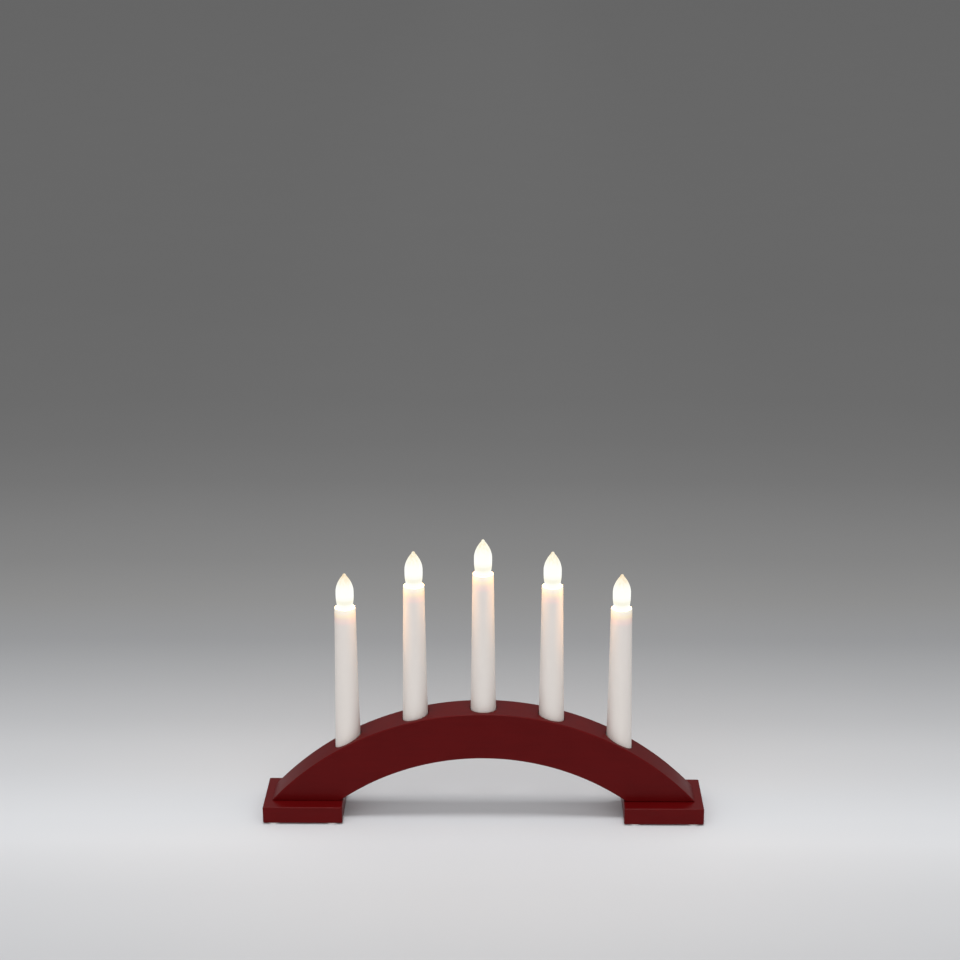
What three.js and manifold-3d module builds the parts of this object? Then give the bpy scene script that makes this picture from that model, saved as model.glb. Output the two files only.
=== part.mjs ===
// Electric candlestick: a painted wooden arch on two foot blocks, with five plastic candle tubes
// that each hold a small screw lampholder and a flame-shaped lamp.
// Millimetres, +Z up. The origin is on the table under the middle of the arch, X runs along the
// arch and -Y is the front.

import * as THREE from 'three';
import { mergeVertices } from 'three/addons/utils/BufferGeometryUtils.js';
import Module from 'manifold-3d';

// Foot blocks and their pads
const overallWidth = 360;
const footLength = 65;
const footDepth = 55;
const footHeight = 14.2;
const footEdge = 0.8;
const padRadius = 6;
const padHeight = 0.8;
const padEndInset = 8.5;
const padFrontInset = 6.4;

// Screws that hold each foot to the arch: their holes only
const screwSpacing = 20;
const screwHoleRadius = 2.2;
const screwPilotRadius = 1.5;
const screwPilotDepth = 11;
const screwHeadRadius = 4.2;
const screwHeadDepth = 4;

// Arch
const archDepth = 30;
const archRise = 77.3;
const crownThickness = 39.2;
const archLedgeOuter = 6.6;
const archLedgeInner = 2.1;
const archEdge = 0.9;

// Wiring groove in the underside of the arch, closed by a cover strip
const grooveWidth = 8;
const grooveDepth = 5.5;
const coverWidth = 11.4;
const coverThickness = 2.2;
const wireBoreRadius = 6;

// Candle places along the arch: the outer ones from its ends, the others evenly between them
const outerCandleInset = 69;
const seatDepthCentre = 12;
const seatDepthMiddle = 15.5;
const seatDepthOuter = 13;

// Candle tube
const tubeLength = 128;
const tubeMouthGap = 0.6;
const tubeBaseRadius = 10.5;
const tubeWall = 1.3;
const tubeWeb = 2;
const spigotLength = 10;
const spigotWall = 1.3;

// Lamp, with heights above and drops below the rim of the tube
const glassHeight = 29;
const glassRadius = 7.2;
const glassWidestHeight = 13;
const glassNeckDrop = 6.6;
const glassNeckLength = 2.4;
const glassWall = 0.5;
const capCollarStep = 0.4;
const capRadius = 4.75;
const capWall = 0.3;
const capThreadLength = 8.2;
const capShoulderLength = 1.4;
const capEndRadius = 3.2;
const capEndRim = 0.6;
const lampContactLength = 2.6;
const lampButtonRadius = 1.7;
const lampButtonHeight = 1.3;
const stemTopHeight = 3.5;
const stemTopRadius = 1.3;
const filamentHeight = 12.5;
const filamentSpread = 2.6;
const filamentRadius = 0.25;

// Lampholder
const socketTopStep = 2.3;
const socketWall = 1.2;
const socketFloorThickness = 2;
const socketSkirtLength = 5;
const socketSkirtStep = 0.4;
const shellWall = 0.35;
const shellTopStep = 0.5;
const tagWidth = 2.4;
const tagThickness = 0.5;
const tagLength = 4.5;
const contactHeadRadius = 2.2;
const contactHeadHeight = 1.5;
const contactShankRadius = 1;
const contactTailLength = 2.4;

// Cord gland in the back of the arch
const glandBoreRadius = 3.2;
const glandWall = 1.3;
const glandFlangeWidth = 2;
const glandFlangeThickness = 1.5;
const glandNeckStop = 1;

// Wires
const wireRadius = 0.9;
const wireSpread = 2.2;
const wireLane = 1.6;
const wireBend = 3;

// Clearances
const fitGap = 0.3;
const threadGap = 0.3;
const contactGap = 0.3;

// Facets
const archArcSteps = 16;
const tubeSides = 24;
const boreSides = 20;
const glassSides = 16;
const socketSides = 16;
const capSides = 14;
const pinSides = 10;
const wireSides = 6;

// Sizes and places of the lamp and its holder that follow, as drops below the rim of the tube
const capTop = glassNeckDrop + capCollarStep;
const capShoulder = capTop + capThreadLength;
const capEnd = capShoulder + capShoulderLength;
const glassEnd = glassNeckDrop + glassNeckLength;
const glassNeckRadius = capRadius - capWall - fitGap;
const lampEnd = capEnd + lampContactLength;
const contactHeadTop = lampEnd + contactGap;
const contactHeadBottom = contactHeadTop + contactHeadHeight;
const socketTop = capTop + socketTopStep;
const socketFloorTop = contactHeadBottom + fitGap;
const socketFloorBottom = socketFloorTop + socketFloorThickness;
const socketBottom = socketFloorBottom + socketSkirtLength;
const contactTailBottom = socketFloorBottom + contactTailLength;
const shellTop = socketTop + shellTopStep;
const shellBottom = socketFloorTop - fitGap;
const tagBottom = shellBottom + tagLength;
const shellInnerRadius = capRadius + threadGap;
const shellOuterRadius = shellInnerRadius + shellWall;
const tagCentre = shellOuterRadius - tagThickness / 2;
const socketBoreRadius = shellOuterRadius + fitGap;

// The mouth of the tube clears the lamp and leaves the holder its wall
const glassRadiusAtRim = shoulderRadius(glassWidestHeight / (glassWidestHeight + glassNeckDrop));
const tubeMouthRadius = Math.max(glassRadiusAtRim + tubeMouthGap, socketBoreRadius + socketWall + fitGap);
const tubeRimRadius = tubeMouthRadius + tubeWall;
const spigotRadius = wireBoreRadius - fitGap;
const spigotBoreRadius = spigotRadius - spigotWall;

// Sizes and places of the arch that follow
const footTop = padHeight + footHeight;
const footCentreX = (overallWidth - footLength) / 2;
const archBottom = footTop + fitGap;
const outerArc = arcThrough(overallWidth / 2 - archLedgeOuter, archRise);
const innerArc = arcThrough(overallWidth / 2 - footLength + archLedgeInner, archRise - crownThickness);
const coverTopArc = growArc(innerArc, coverThickness);
const rebateArc = growArc(coverTopArc, fitGap);
const roofArc = growArc(rebateArc, grooveDepth);
const laneArc = growArc(rebateArc, grooveDepth / 2);
const seatDepths = [seatDepthOuter, seatDepthMiddle, seatDepthCentre, seatDepthMiddle, seatDepthOuter];
const candlePitch = (overallWidth - 2 * outerCandleInset) / (seatDepths.length - 1);
const candles = seatDepths.map((seatDepth, index) => {
  const x = outerCandleInset - overallWidth / 2 + index * candlePitch;
  return candlePlace(index + 1, x, seatDepth);
});
const firstCandle = candles[0];
const lastCandle = candles[candles.length - 1];
const glandHeight = (lastCandle.spigotEnd + lastCandle.boreBottom) / 2;
const glandNeckRadius = glandBoreRadius + glandWall;
const glandNeckEnd = wireBoreRadius + glandNeckStop;

// The circle whose top is `rise` above the seat of the arch and which is `halfSpan` wide there
function arcThrough(halfSpan, rise) {
  const radius = (halfSpan * halfSpan + rise * rise) / (2 * rise);
  return { radius, centreZ: archBottom + rise - radius };
}

function growArc(arc, distance) {
  return { radius: arc.radius + distance, centreZ: arc.centreZ };
}

function arcHeight(arc, x) {
  return arc.centreZ + Math.sqrt(arc.radius * arc.radius - x * x);
}

// The groove follows the underside of the arch, and runs level where it lies over a foot
function grooveRoof(x) {
  return Math.max(arcHeight(roofArc, x), archBottom + grooveDepth);
}

function grooveLane(x) {
  return Math.max(arcHeight(laneArc, x), archBottom + grooveDepth / 2);
}

function candlePlace(number, x, seatDepth) {
  const seatZ = arcHeight(outerArc, x) - seatDepth;
  const baseZ = seatZ + fitGap;
  const rimZ = baseZ + tubeLength;
  const spigotEnd = baseZ - spigotLength;
  const boreBottom = grooveRoof(Math.abs(x) + wireBoreRadius);
  return { number, x, seatZ, rimZ, spigotEnd, boreBottom };
}

const wasm = await Module();
wasm.setup();

// A geometry with positions only, shared corners merged and flat triangles left out
function closedGeometry(geometry) {
  const bare = geometry.index ? geometry.toNonIndexed() : geometry.clone();
  for (const name of Object.keys(bare.attributes)) {
    if (name !== 'position') bare.deleteAttribute(name);
  }
  const merged = mergeVertices(bare, 1e-4);
  const corners = merged.index.array;
  const kept = [];
  for (let i = 0; i < corners.length; i += 3) {
    const [a, b, c] = [corners[i], corners[i + 1], corners[i + 2]];
    if (a !== b && b !== c && c !== a) kept.push(a, b, c);
  }
  merged.setIndex(kept);
  return merged;
}

function toSolid(geometry) {
  const closed = closedGeometry(geometry);
  return new wasm.Manifold(new wasm.Mesh({
    numProp: 3,
    vertProperties: Float32Array.from(closed.attributes.position.array),
    triVerts: Uint32Array.from(closed.index.array),
  }));
}

function fromSolid(solid) {
  const mesh = solid.getMesh();
  const geometry = new THREE.BufferGeometry();
  geometry.setAttribute('position', new THREE.BufferAttribute(mesh.vertProperties, 3));
  geometry.setIndex(new THREE.BufferAttribute(mesh.triVerts, 1));
  return geometry;
}

function cut(geometry, cutters) {
  let solid = toSolid(geometry);
  for (const cutter of cutters) {
    solid = solid.subtract(toSolid(cutter));
  }
  return fromSolid(solid);
}

function join(geometries) {
  let solid = toSolid(geometries[0]);
  for (const geometry of geometries.slice(1)) {
    solid = solid.add(toSolid(geometry));
  }
  return fromSolid(solid);
}

// A body of revolution about +Z from [radius, height] pairs that run up the outside
function revolve(profile, sides) {
  const points = profile.map(([radius, height]) => new THREE.Vector2(radius, height));
  const geometry = new THREE.LatheGeometry(points, sides);
  geometry.rotateX(Math.PI / 2);
  return geometry;
}

// The same for a ring, whose profile closes on itself
function revolveRing(profile, sides) {
  return revolve([...profile, profile[0]], sides);
}

function rod(radius, bottom, top, sides) {
  return revolve([[0, bottom], [radius, bottom], [radius, top], [0, top]], sides);
}

function block(sizeX, sizeY, sizeZ, x, y, z) {
  const geometry = new THREE.BoxGeometry(sizeX, sizeY, sizeZ);
  geometry.translate(x, y, z);
  return geometry;
}

// Foot block with eased edges and two stepped screw holes from below, centred on its own axis
function footGeometry() {
  const halfLength = footLength / 2 - footEdge;
  const halfDepth = footDepth / 2 - footEdge;
  const outline = new THREE.Shape();
  outline.moveTo(-halfLength, -halfDepth);
  outline.lineTo(halfLength, -halfDepth);
  outline.lineTo(halfLength, halfDepth);
  outline.lineTo(-halfLength, halfDepth);
  outline.closePath();
  const body = new THREE.ExtrudeGeometry(outline, {
    depth: footHeight - 2 * footEdge,
    bevelEnabled: true,
    bevelThickness: footEdge,
    bevelSize: footEdge,
    bevelSegments: 2,
  });
  body.translate(0, 0, footEdge);
  const holes = [];
  for (const x of [-screwSpacing / 2, screwSpacing / 2]) {
    holes.push(screwHole(x));
  }
  return cut(body, holes);
}

function screwHole(x) {
  const overrun = 1;
  const hole = revolve([
    [0, -overrun],
    [screwHeadRadius, -overrun],
    [screwHeadRadius, screwHeadDepth],
    [screwHoleRadius, screwHeadDepth + screwHeadRadius - screwHoleRadius],
    [screwHoleRadius, footHeight + overrun],
    [0, footHeight + overrun],
  ], pinSides);
  hole.translate(x, 0, 0);
  return hole;
}

// A band between two arcs, standing on the seat of the arch and reaching `overrun` below it
function bandShape(outer, inner, overrun) {
  const outerAngle = Math.acos((archBottom - overrun - outer.centreZ) / outer.radius);
  const innerAngle = Math.acos((archBottom - overrun - inner.centreZ) / inner.radius);
  const top = Math.PI / 2;
  const shape = new THREE.Shape();
  shape.absarc(0, outer.centreZ, outer.radius, top - outerAngle, top + outerAngle, false);
  shape.absarc(0, inner.centreZ, inner.radius, top + innerAngle, top - innerAngle, true);
  shape.closePath();
  return shape;
}

// Extrudes a shape of the X-Z plane along Y, with its middle at Y = 0
function extrudeAcross(shape, depth, edge, arcSteps) {
  const geometry = new THREE.ExtrudeGeometry(shape, {
    depth: depth - 2 * edge,
    curveSegments: arcSteps,
    bevelEnabled: edge > 0,
    bevelThickness: edge,
    bevelSize: edge,
    bevelOffset: -edge,
    bevelSegments: 2,
  });
  geometry.translate(0, 0, edge - depth / 2);
  geometry.rotateX(Math.PI / 2);
  return geometry;
}

// Cutter for everything below the seat of the arch
function belowSeat() {
  const height = footTop * 2;
  return block(overallWidth * 2, archDepth * 2, height, 0, 0, archBottom - height / 2);
}

function candleBore(candle) {
  const seatRadius = tubeBaseRadius + fitGap;
  const above = candle.seatZ + Math.max(...seatDepths) + seatRadius;
  const bore = revolve([
    [0, candle.boreBottom],
    [wireBoreRadius, candle.boreBottom],
    [wireBoreRadius, candle.seatZ],
    [seatRadius, candle.seatZ],
    [seatRadius, above],
    [0, above],
  ], boreSides);
  bore.translate(candle.x, 0, 0);
  return bore;
}

// The groove is open downwards and ends at the far side of the outermost wire bores
function grooveCutter() {
  const overrun = 2;
  const below = growArc(innerArc, -overrun);
  const band = extrudeAcross(bandShape(roofArc, below, overrun), grooveWidth, 0, archArcSteps);
  const length = 2 * (lastCandle.x + wireBoreRadius);
  const limits = block(length, archDepth, 4 * archRise, 0, 0, archBottom);
  const level = block(length, grooveWidth, 2 * grooveDepth, 0, 0, archBottom);
  return fromSolid(toSolid(band).intersect(toSolid(limits)).add(toSolid(level)));
}

function rebateCutter() {
  const overrun = 2;
  const below = growArc(innerArc, -overrun);
  return extrudeAcross(bandShape(rebateArc, below, overrun), coverWidth + 2 * fitGap, 0, archArcSteps);
}

// Hole from the back face into the last wire bore
function glandCutter() {
  const overrun = 1;
  const hole = rod(glandNeckRadius + fitGap, 0, archDepth / 2 + overrun, boreSides);
  hole.rotateX(-Math.PI / 2);
  hole.translate(lastCandle.x, 0, glandHeight);
  return hole;
}

function pilotHoles() {
  const holes = [];
  for (const side of [-1, 1]) {
    for (const offset of [-screwSpacing / 2, screwSpacing / 2]) {
      const hole = rod(screwPilotRadius, archBottom - 1, archBottom + screwPilotDepth, pinSides);
      hole.translate(side * footCentreX + offset, 0, 0);
      holes.push(hole);
    }
  }
  return holes;
}

function archGeometry() {
  const overrun = 2 * archEdge;
  const body = extrudeAcross(bandShape(outerArc, innerArc, overrun), archDepth, archEdge, archArcSteps);
  return cut(body, [
    belowSeat(),
    rebateCutter(),
    grooveCutter(),
    ...candles.map(candleBore),
    glandCutter(),
    ...pilotHoles(),
  ]);
}

function coverGeometry() {
  return extrudeAcross(bandShape(coverTopArc, innerArc, 0), coverWidth, 0, archArcSteps);
}

// Flanged bush, with its flange on the outside and its axis along +Z
function glandGeometry() {
  const flangeBottom = fitGap;
  const flangeTop = flangeBottom + glandFlangeThickness;
  const flangeRadius = glandNeckRadius + glandFlangeWidth;
  const neckLength = archDepth / 2 - glandNeckEnd;
  return revolveRing([
    [glandBoreRadius, -neckLength],
    [glandNeckRadius, -neckLength],
    [glandNeckRadius, flangeBottom],
    [flangeRadius, flangeBottom],
    [flangeRadius, flangeTop - glandFlangeThickness / 2],
    [flangeRadius - glandFlangeThickness / 2, flangeTop],
    [glandBoreRadius, flangeTop],
  ], socketSides);
}

// Inner and outer radius of the tube at a drop below its rim
function tubeOuterRadius(drop) {
  return THREE.MathUtils.lerp(tubeRimRadius, tubeBaseRadius, drop / tubeLength);
}

function tubeInnerRadius(drop) {
  return tubeOuterRadius(drop) - tubeWall;
}

// Tapered tube with a rounded rim, and a web and a hollow spigot at its base
function tubeGeometry() {
  const round = tubeWall / 2;
  const spigotEnd = -tubeLength - spigotLength;
  const webTop = -tubeLength + tubeWeb;
  const rimCentre = tubeOuterRadius(round) - round;
  const rim = [0, 45, 90, 135, 180].map((degrees) => {
    const angle = THREE.MathUtils.degToRad(degrees);
    return [rimCentre + round * Math.cos(angle), -round + round * Math.sin(angle)];
  });
  return revolveRing([
    [spigotBoreRadius, spigotEnd],
    [spigotRadius, spigotEnd],
    [spigotRadius, -tubeLength],
    [tubeBaseRadius, -tubeLength],
    ...rim,
    [tubeInnerRadius(tubeLength - tubeWeb), webTop],
    [spigotBoreRadius, webTop],
  ], tubeSides);
}

// Insulating body of the lampholder: it follows the taper of the tube and has a floor with a
// round hole for the centre contact and a slot for the tag of the screw shell
function socketGeometry() {
  const outerTop = tubeInnerRadius(socketTop) - fitGap;
  const outerBottom = tubeInnerRadius(socketBottom) - fitGap;
  const skirtRadius = socketBoreRadius + socketSkirtStep;
  const body = revolveRing([
    [contactShankRadius + fitGap, -socketFloorBottom],
    [skirtRadius, -socketFloorBottom],
    [skirtRadius, -socketBottom],
    [outerBottom, -socketBottom],
    [outerTop, -socketTop],
    [socketBoreRadius, -socketTop],
    [socketBoreRadius, -socketFloorTop],
    [contactShankRadius + fitGap, -socketFloorTop],
  ], socketSides);
  const slot = block(
    tagThickness + 2 * fitGap,
    tagWidth + 2 * fitGap,
    socketFloorThickness * 2,
    -tagCentre,
    0,
    -(socketFloorTop + socketFloorBottom) / 2,
  );
  return cut(body, [slot]);
}

// Screw shell of the lampholder, with the tag that its wire meets
function shellGeometry() {
  const sleeve = revolveRing([
    [shellInnerRadius, -shellBottom],
    [shellOuterRadius, -shellBottom],
    [shellOuterRadius, -shellTop],
    [shellInnerRadius, -shellTop],
  ], socketSides);
  const overlap = 2;
  const tagTop = shellBottom - overlap;
  const tag = block(
    tagThickness,
    tagWidth,
    tagBottom - tagTop,
    -tagCentre,
    0,
    -(tagTop + tagBottom) / 2,
  );
  return join([sleeve, tag]);
}

// Centre contact of the lampholder: a rivet with its head above the floor
function contactGeometry() {
  return revolve([
    [0, -contactTailBottom],
    [contactShankRadius, -contactTailBottom],
    [contactShankRadius, -contactHeadBottom],
    [contactHeadRadius, -contactHeadBottom],
    [contactHeadRadius, -contactHeadTop - contactHeadHeight / 2],
    [contactHeadRadius / 2, -contactHeadTop],
    [0, -contactHeadTop],
  ], pinSides);
}

// Radius of the flame above its widest place, with t from 0 there to 1 at the tip
function flameRadius(t) {
  const pointedness = 0.95;
  return glassRadius * Math.pow(1 - t * t, pointedness);
}

// Radius of the glass below its widest place, with t from 0 there to 1 at the neck
function shoulderRadius(t) {
  const fullness = 1.75;
  const share = (1 + Math.cos(Math.PI * Math.pow(t, fullness))) / 2;
  return THREE.MathUtils.lerp(glassNeckRadius, glassRadius, share);
}

// Side of the glass from its open end to its tip, moved inwards by an offset
function glassProfile(offset, shoulderSteps, flameSteps) {
  const profile = [[glassNeckRadius - offset, -glassEnd]];
  for (let i = 0; i < shoulderSteps; i += 1) {
    const t = 1 - i / shoulderSteps;
    const height = THREE.MathUtils.lerp(glassWidestHeight, -glassNeckDrop, t);
    profile.push([shoulderRadius(t) - offset, height]);
  }
  const tip = glassHeight - 2 * offset;
  for (let i = 0; i < flameSteps; i += 1) {
    const t = Math.sin((Math.PI / 2) * (i / flameSteps));
    const height = THREE.MathUtils.lerp(glassWidestHeight, tip, t);
    profile.push([flameRadius(t) - offset * Math.sqrt(1 - t), height]);
  }
  profile.push([0, tip]);
  return profile;
}

// Glass envelope, hollow and open at its neck
function glassGeometry() {
  const outside = glassProfile(0, 4, 6);
  const inside = glassProfile(glassWall, 3, 3).reverse();
  return revolve([...inside, ...outside], glassSides);
}

// Metal cap of the lamp: a thin cup with a shoulder and a hole for the contact
function capGeometry() {
  const holeRadius = capEndRadius - capEndRim;
  return revolveRing([
    [holeRadius, -capEnd],
    [capEndRadius, -capEnd],
    [capRadius, -capShoulder],
    [capRadius, -capTop],
    [capRadius - capWall, -capTop],
    [capRadius - capWall, -capShoulder + capWall],
    [holeRadius, -capEnd + 2 * capWall],
  ], capSides);
}

// Insulated foot contact of the lamp: a disc in the hole of the cap and a button below it
function lampContactGeometry() {
  const discRadius = capEndRadius - capEndRim - fitGap;
  const discTop = capEnd - capWall;
  return revolve([
    [0, -lampEnd],
    [lampButtonRadius / 2, -lampEnd],
    [lampButtonRadius, -lampEnd + lampButtonHeight / 2],
    [lampButtonRadius, -lampEnd + lampButtonHeight],
    [discRadius, -capEnd],
    [discRadius, -discTop],
    [0, -discTop],
  ], pinSides);
}

// Glass stem in the neck, with the filament on its two supports
function stemGeometry() {
  const footRadius = glassNeckRadius - glassWall - fitGap;
  const footDrop = (glassNeckDrop + glassEnd) / 2;
  const stem = revolve([
    [0, -glassEnd],
    [footRadius, -glassEnd],
    [footRadius, -footDrop],
    [stemTopRadius, -glassNeckDrop / 2],
    [stemTopRadius, stemTopHeight],
    [0, stemTopHeight],
  ], pinSides);
  const root = stemTopRadius / 2;
  const shoulder = filamentHeight - filamentSpread / 2;
  const points = [
    [-root, stemTopHeight - 1],
    [-root, stemTopHeight + 1],
    [-filamentSpread, shoulder],
    [-filamentSpread / 2, filamentHeight],
    [filamentSpread / 2, filamentHeight],
    [filamentSpread, shoulder],
    [root, stemTopHeight + 1],
    [root, stemTopHeight - 1],
  ].map(([x, z]) => new THREE.Vector3(x, 0, z));
  return join([stem, sweptRod(points, filamentRadius, 4)]);
}

// A line through given points, where each point gets one ring of the swept section
class Route extends THREE.Curve {
  constructor(points) {
    super();
    this.points = points;
  }

  getPoint(t, target = new THREE.Vector3()) {
    const last = this.points.length - 1;
    const index = Math.min(Math.floor(t * last), last - 1);
    return target.lerpVectors(this.points[index], this.points[index + 1], t * last - index);
  }

  getPointAt(u, target) {
    return this.getPoint(u, target);
  }

  getTangentAt(u, target = new THREE.Vector3()) {
    const last = this.points.length - 1;
    const index = Math.round(u * last);
    target.set(0, 0, 0);
    if (index > 0) target.add(direction(this.points[index - 1], this.points[index]));
    if (index < last) target.add(direction(this.points[index], this.points[index + 1]));
    return target.normalize();
  }
}

function direction(from, to) {
  return to.clone().sub(from).normalize();
}

function sweptRod(points, radius, sides) {
  const section = new THREE.Shape();
  for (let i = 0; i < sides; i += 1) {
    const angle = (2 * Math.PI * i) / sides;
    const [x, y] = [radius * Math.cos(angle), radius * Math.sin(angle)];
    if (i === 0) section.moveTo(x, y);
    else section.lineTo(x, y);
  }
  section.closePath();
  return new THREE.ExtrudeGeometry(section, {
    steps: points.length - 1,
    extrudePath: new Route(points),
  });
}

// Rounds the sharp corners of a route and leaves its slight turns as they are
function roundCorners(corners, radius) {
  const points = [corners[0]];
  for (let i = 1; i < corners.length - 1; i += 1) {
    const into = direction(corners[i - 1], corners[i]);
    const outOf = direction(corners[i], corners[i + 1]);
    if (into.angleTo(outOf) < Math.PI / 4) {
      points.push(corners[i]);
      continue;
    }
    const start = corners[i].clone().addScaledVector(into, -radius);
    const end = corners[i].clone().addScaledVector(outOf, radius);
    const bend = new THREE.QuadraticBezierCurve3(start, corners[i], end);
    points.push(...bend.getPoints(3));
  }
  points.push(corners[corners.length - 1]);
  return points;
}

function wireGeometry(corners) {
  const points = corners.map(([x, y, z]) => new THREE.Vector3(x, y, z));
  return sweptRod(roundCorners(points, wireBend), wireRadius, wireSides);
}

// Way down the left of a tube, from below the tag of its screw shell
function fromShell(candle, lane) {
  const top = candle.rimZ - tagBottom - contactGap;
  return [
    [candle.x - tagCentre + tagThickness, 0, top],
    [candle.x - tagCentre + tagThickness, 0, candle.rimZ - socketBottom],
    [candle.x - wireSpread, lane, candle.rimZ - 2 * socketBottom],
  ];
}

// Way down the right of a tube, from below the centre contact
function fromContact(candle, lane) {
  const top = candle.rimZ - contactTailBottom - contactGap;
  return [
    [candle.x, 0, top],
    [candle.x, 0, candle.rimZ - socketBottom],
    [candle.x + wireSpread, lane, candle.rimZ - 2 * socketBottom],
  ];
}

function inGroove(x, lane) {
  return [x, lane, grooveLane(x)];
}

// Link from the screw shell of one lampholder to the centre contact of its left neighbour
function linkWire(from, to) {
  const lane = -wireLane;
  return wireGeometry([
    ...fromShell(from, lane),
    inGroove(from.x - wireSpread, lane),
    inGroove((from.x + to.x) / 2, lane),
    inGroove(to.x + wireSpread, lane),
    ...fromContact(to, lane).reverse(),
  ]);
}

// Inner end of a lead, just inside the gland
function atGland(x) {
  return [
    [x, wireLane, glandHeight],
    [x, glandNeckEnd - fitGap, glandHeight],
  ];
}

function supplyWire() {
  return wireGeometry([
    ...fromContact(lastCandle, wireLane),
    ...atGland(lastCandle.x + wireSpread),
  ]);
}

// Lead from the first screw shell along the whole groove to the gland
function returnWire() {
  const start = firstCandle.x - wireSpread;
  const end = lastCandle.x - wireSpread;
  const stretches = 6;
  const along = [];
  for (let i = 0; i <= stretches; i += 1) {
    along.push(inGroove(THREE.MathUtils.lerp(start, end, i / stretches), wireLane));
  }
  return wireGeometry([
    ...fromShell(firstCandle, wireLane),
    ...along,
    ...atGland(end),
  ]);
}

const paint = { color: '#641519', roughness: 0.45, metalness: 0 };
const candlePlastic = { color: '#f0ebe2', roughness: 0.4, metalness: 0 };
const padPlastic = { color: '#efefec', roughness: 0.6, metalness: 0 };
const socketPlastic = { color: '#e2ddd2', roughness: 0.55, metalness: 0 };
const brass = { color: '#c8a45a', roughness: 0.35, metalness: 0.9 };
const insulation = { color: '#dedbd2', roughness: 0.5, metalness: 0 };
const lampGlass = { color: '#fff3dc', roughness: 0.05, metalness: 0, transparent: true, opacity: 0.35 };
const hotFilament = { color: '#ffd79a', roughness: 0.4, metalness: 0.2, emissive: '#ffb45a' };

const candlestick = new THREE.Group();

function addPiece(parent, name, geometry, look, x = 0, y = 0, z = 0) {
  const mesh = new THREE.Mesh(geometry, new THREE.MeshStandardMaterial(look));
  mesh.name = name;
  mesh.position.set(x, y, z);
  parent.add(mesh);
  return mesh;
}

function addFoot(name, side, geometry, padShape) {
  const foot = new THREE.Group();
  foot.position.x = side * footCentreX;
  addPiece(foot, `foot_${name}`, geometry, paint, 0, 0, padHeight);
  const reachX = footLength / 2 - padEndInset;
  const reachY = footDepth / 2 - padFrontInset;
  addPiece(foot, `pad_${name}_front_outer`, padShape, padPlastic, side * reachX, -reachY);
  addPiece(foot, `pad_${name}_front_inner`, padShape, padPlastic, -side * reachX, -reachY);
  addPiece(foot, `pad_${name}_back_outer`, padShape, padPlastic, side * reachX, reachY);
  addPiece(foot, `pad_${name}_back_inner`, padShape, padPlastic, -side * reachX, reachY);
  candlestick.add(foot);
}

function addCandle(candle, shapes) {
  const group = new THREE.Group();
  group.position.set(candle.x, 0, candle.rimZ);
  const number = candle.number;
  addPiece(group, `candle_${number}_tube`, shapes.tube, candlePlastic);
  addPiece(group, `socket_${number}_body`, shapes.socket, socketPlastic);
  addPiece(group, `socket_${number}_shell`, shapes.shell, brass);
  addPiece(group, `socket_${number}_contact`, shapes.contact, brass);
  addPiece(group, `bulb_${number}_glass`, shapes.glass, lampGlass);
  addPiece(group, `bulb_${number}_cap`, shapes.cap, brass);
  addPiece(group, `bulb_${number}_contact`, shapes.lampContact, brass);
  addPiece(group, `bulb_${number}_stem`, shapes.stem, hotFilament);
  candlestick.add(group);
}

addPiece(candlestick, 'arch', archGeometry(), paint);
addPiece(candlestick, 'groove_cover', coverGeometry(), paint);

const gland = glandGeometry();
gland.rotateX(-Math.PI / 2);
addPiece(candlestick, 'cord_gland', gland, insulation, lastCandle.x, archDepth / 2, glandHeight);

const footBlock = footGeometry();
const pad = rod(padRadius, 0, padHeight, socketSides);
addFoot('left', -1, footBlock, pad);
addFoot('right', 1, footBlock, pad);

const candleShapes = {
  tube: tubeGeometry(),
  socket: socketGeometry(),
  shell: shellGeometry(),
  contact: contactGeometry(),
  glass: glassGeometry(),
  cap: capGeometry(),
  lampContact: lampContactGeometry(),
  stem: stemGeometry(),
};
for (const candle of candles) {
  addCandle(candle, candleShapes);
}

addPiece(candlestick, 'wire_supply', supplyWire(), insulation);
addPiece(candlestick, 'wire_5_to_4', linkWire(candles[4], candles[3]), insulation);
addPiece(candlestick, 'wire_4_to_3', linkWire(candles[3], candles[2]), insulation);
addPiece(candlestick, 'wire_3_to_2', linkWire(candles[2], candles[1]), insulation);
addPiece(candlestick, 'wire_2_to_1', linkWire(candles[1], candles[0]), insulation);
addPiece(candlestick, 'wire_return', returnWire(), insulation);

export default candlestick;
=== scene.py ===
"""Electric candlestick: five lamps on plastic candle tubes, in a painted wooden arch on two feet.

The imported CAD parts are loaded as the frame. Each finished piece is modelled in its CAD part's
place with mesh operators, and a plain stage with a camera and lights is set up around them.
"""

import math

import bpy
from bpy.props import FloatProperty, FloatVectorProperty, IntProperty, PointerProperty
from mathutils import Matrix, Vector


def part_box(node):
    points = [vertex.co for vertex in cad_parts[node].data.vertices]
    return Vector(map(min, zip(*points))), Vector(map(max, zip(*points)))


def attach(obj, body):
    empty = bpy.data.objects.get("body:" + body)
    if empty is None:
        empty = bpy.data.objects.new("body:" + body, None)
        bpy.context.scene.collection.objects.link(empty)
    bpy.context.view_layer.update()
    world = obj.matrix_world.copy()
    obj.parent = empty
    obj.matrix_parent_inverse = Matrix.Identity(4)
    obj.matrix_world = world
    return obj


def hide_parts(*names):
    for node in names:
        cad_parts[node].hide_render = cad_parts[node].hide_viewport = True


bl_info = {
    "name": "Electric candlestick",
    "version": (1, 0, 0),
    "blender": (4, 5, 0),
    "location": "View3D > Sidebar > Candlestick",
    "description": "Models an electric candlestick with five lamps over its CAD parts",
    "category": "Add Mesh",
}

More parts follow.
